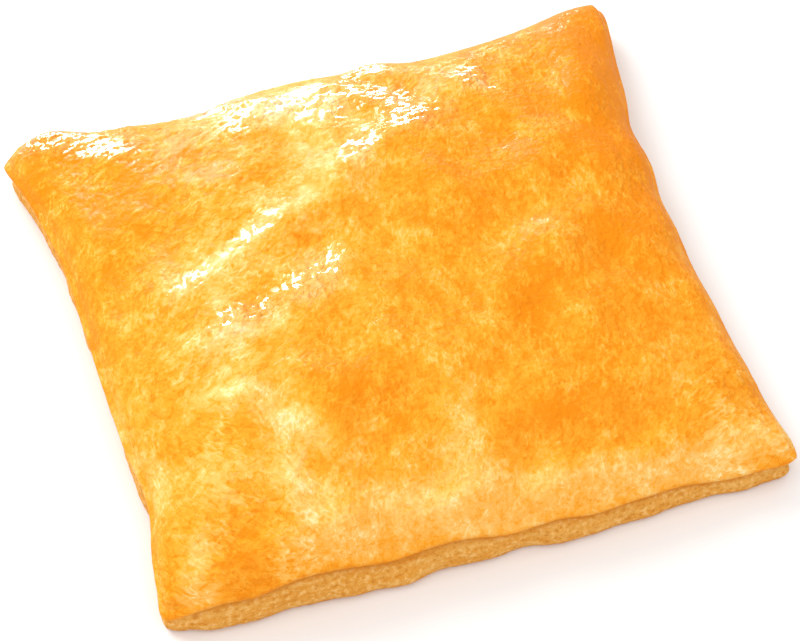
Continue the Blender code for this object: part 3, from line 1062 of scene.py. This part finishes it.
class PastryColours(bpy.types.PropertyGroup):
    """Colours and gloss of the crust."""

    golden: paint("Golden", "Most of the baked skin", (0.90, 0.355, 0.024, 1.0))
    browned: paint("Browned", "Where the skin is baked darkest", (0.82, 0.245, 0.006, 1.0))
    yellow: paint("Yellow", "Where the skin is less baked", (0.91, 0.465, 0.095, 1.0))
    pale: paint("Pale", "Creamy patches of the skin", (0.91, 0.59, 0.19, 1.0))
    dough: paint("Dough", "The lower layer", (0.72, 0.305, 0.042, 1.0))
    dough_pale: paint("Pale dough", "Paler leaves of the lower layer", (0.77, 0.40, 0.09, 1.0))
    crumb: paint("Crumbs", "Colour of the pale crumbs of the lower layer", (0.88, 0.53, 0.18, 1.0))
    # The foot's colour is also the colour of the painted shade in the crease
    foot: paint("Foot", "The browned foot", (0.55, 0.18, 0.016, 1.0))
    cream: paint("Cream", "The least baked spots", (0.91, 0.69, 0.32, 1.0))
    sheen: fraction("Sheen", "How much the crust mirrors", 0.035)
    glaze: fraction("Glaze", "How much wet glaze the skin has", 0.9)
    glaze_roughness: fraction("Glaze roughness", "Roughness of the wet glaze", 0.07)

    def stops(self):
        """Colours of the skin from the most to the least baked."""
        tints = (self.browned, self.golden, self.yellow, self.pale, self.cream)
        return [(place, tuple(tint)) for place, tint in zip(BAKE_STOPS, tints)]


class PastryStudio(bpy.types.PropertyGroup):
    """Floor, lights and camera."""

    floor: paint("Floor", "The plain pale floor", (0.90, 0.90, 0.90, 1.0))
    sky: FloatProperty(
        name="Sky", description="Strength of the even white light", default=0.70, min=0.0
    )
    key: power("Key light", "Soft light from the far left", 4.6)
    spark: power("Small light", "Small light behind, for the glints inside", 5.0)
    strip: power("Strip light", "Low light behind, for the glints along the far rim", 7.0)
    top: power("Top light", "Broad light overhead", 4.7)
    lens: FloatProperty(
        name="Lens", description="Focal length of the camera, mm", default=200.0, min=10.0
    )
    azimuth: angle("Azimuth", "Turn of the camera round the pastry", -17.6)
    elevation: angle("Elevation", "Height of the camera as an angle", 55.2)
    distance: metres("Distance", "From the camera to the pastry's foot", 0.7585)
    shift_right: metres("Shift right", "How far right of its aim the camera stands", 0.00168)
    shift_up: metres("Shift up", "How far above its aim the camera stands", 0.0005)


# Operators


class PASTRY_OT_build_crust(bpy.types.Operator):
    """Build the pastry: its form, fine relief and glazed crust"""

    bl_idname = "pastry.build_crust"
    bl_label = "Build crust"

    def execute(self, context):
        sizes, colours = context.scene.pastry_sizes, context.scene.pastry_colours
        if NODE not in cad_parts:
            raise RuntimeError("the frame has no pastry to dress")
        crust = bpy.data.objects.new(PIECE, crust_mesh(sizes))
        context.scene.collection.objects.link(crust)
        raise_relief(crust, sizes, crust_material(colours, sizes))
        keep_in_box(crust.data)
        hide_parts(NODE)
        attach(crust, BODY)
        return {"FINISHED"}


LIGHT_AIM = (0.0, 0.0, 0.01)
# Area lights: (name of its power, place, width and depth, m, if it lights the crust, if it shows in
# the glaze)
LIGHTS = (
    ("key", (-0.34, 0.52, 0.50), (0.5, 0.5), True, False),
    ("strip", (0.02, 0.60, 0.05), (0.5, 0.08), False, True),
    ("spark", (-0.05, 0.60, 0.28), (0.12, 0.36), False, True),
    ("top", (0.0, -0.38, 0.82), (1.2, 1.2), True, True),
)
SENSOR_WIDTH = 36.0
CLIP_START = 0.01
FLOOR_HALF = 2.5
FLOOR_ROUGHNESS = 0.9


def add_light(studio, name, place, size, evenly, in_gloss):
    data = bpy.data.lights.new(name, "AREA")
    data.shape = "RECTANGLE"
    data.size, data.size_y = size
    data.energy = getattr(studio, name)
    data.color = WHITE
    light = bpy.data.objects.new(name, data)
    bpy.context.scene.collection.objects.link(light)
    light.location = place
    light.rotation_euler = (Vector(LIGHT_AIM) - Vector(place)).to_track_quat("-Z", "Y").to_euler()
    light.visible_diffuse = evenly
    light.visible_glossy = in_gloss


def add_sky(studio):
    world = bpy.data.worlds.new("white_sky")
    world.use_nodes = True
    sky = world.node_tree.nodes["Background"]
    sky.inputs["Color"].default_value = (*WHITE, 1.0)
    sky.inputs["Strength"].default_value = studio.sky
    bpy.context.scene.world = world


def matt_material(name, tint):
    material = bpy.data.materials.new(name)
    material.use_nodes = True
    shader = material.node_tree.nodes["Principled BSDF"]
    shader.inputs["Base Color"].default_value = tint
    shader.inputs["Roughness"].default_value = FLOOR_ROUGHNESS
    return material


def add_floor(studio):
    bm = bmesh.new()
    bmesh.ops.create_grid(bm, x_segments=1, y_segments=1, size=FLOOR_HALF)
    mesh = bpy.data.meshes.new("floor")
    bm.to_mesh(mesh)
    bm.free()
    mesh.materials.append(matt_material("pale_floor", tuple(studio.floor)))
    floor = bpy.data.objects.new("floor", mesh)
    bpy.context.scene.collection.objects.link(floor)


def add_camera(studio):
    azimuth, elevation = studio.azimuth, studio.elevation
    back = Vector(
        (
            math.sin(azimuth) * math.cos(elevation),
            -math.cos(azimuth) * math.cos(elevation),
            math.sin(elevation),
        )
    )
    right = Vector((math.cos(azimuth), math.sin(azimuth), 0.0))
    up = back.cross(right)
    data = bpy.data.cameras.new("camera")
    data.lens = studio.lens
    data.sensor_width = SENSOR_WIDTH
    data.clip_start = CLIP_START
    camera = bpy.data.objects.new("camera", data)
    bpy.context.scene.collection.objects.link(camera)
    turned = Matrix((right, up, back)).transposed().to_4x4()
    place = back * studio.distance + right * studio.shift_right + up * studio.shift_up
    camera.matrix_world = Matrix.Translation(place) @ turned
    bpy.context.scene.camera = camera


class PASTRY_OT_build_studio(bpy.types.Operator):
    """Build the plain floor, the soft lights and the camera"""

    bl_idname = "pastry.build_studio"
    bl_label = "Build studio"

    def execute(self, context):
        studio = context.scene.pastry_studio
        add_floor(studio)
        add_camera(studio)
        add_sky(studio)
        for light in LIGHTS:
            add_light(studio, *light)
        context.scene.view_settings.view_transform = "Standard"
        return {"FINISHED"}


class PASTRY_PT_panel(bpy.types.Panel):
    """Sizes, colours and studio of the pastry"""

    bl_label = "Cheese pastry"
    bl_space_type = "VIEW_3D"
    bl_region_type = "UI"
    bl_category = "Pastry"

    def draw(self, context):
        for group, operator in (
            (context.scene.pastry_sizes, PASTRY_OT_build_crust.bl_idname),
            (context.scene.pastry_colours, None),
            (context.scene.pastry_studio, PASTRY_OT_build_studio.bl_idname),
        ):
            box = self.layout.box()
            for name in group.__annotations__:
                box.prop(group, name)
            if operator:
                box.operator(operator)


CLASSES = (
    PastrySizes,
    PastryColours,
    PastryStudio,
    PASTRY_OT_build_crust,
    PASTRY_OT_build_studio,
    PASTRY_PT_panel,
)


def register():
    for cls in CLASSES:
        bpy.utils.register_class(cls)
    bpy.types.Scene.pastry_sizes = PointerProperty(type=PastrySizes)
    bpy.types.Scene.pastry_colours = PointerProperty(type=PastryColours)
    bpy.types.Scene.pastry_studio = PointerProperty(type=PastryStudio)


def unregister():
    del bpy.types.Scene.pastry_studio
    del bpy.types.Scene.pastry_colours
    del bpy.types.Scene.pastry_sizes
    for cls in reversed(CLASSES):
        bpy.utils.unregister_class(cls)


def main():
    register()
    bpy.ops.pastry.build_crust()
    bpy.ops.pastry.build_studio()


if __name__ == "__main__":
    main()
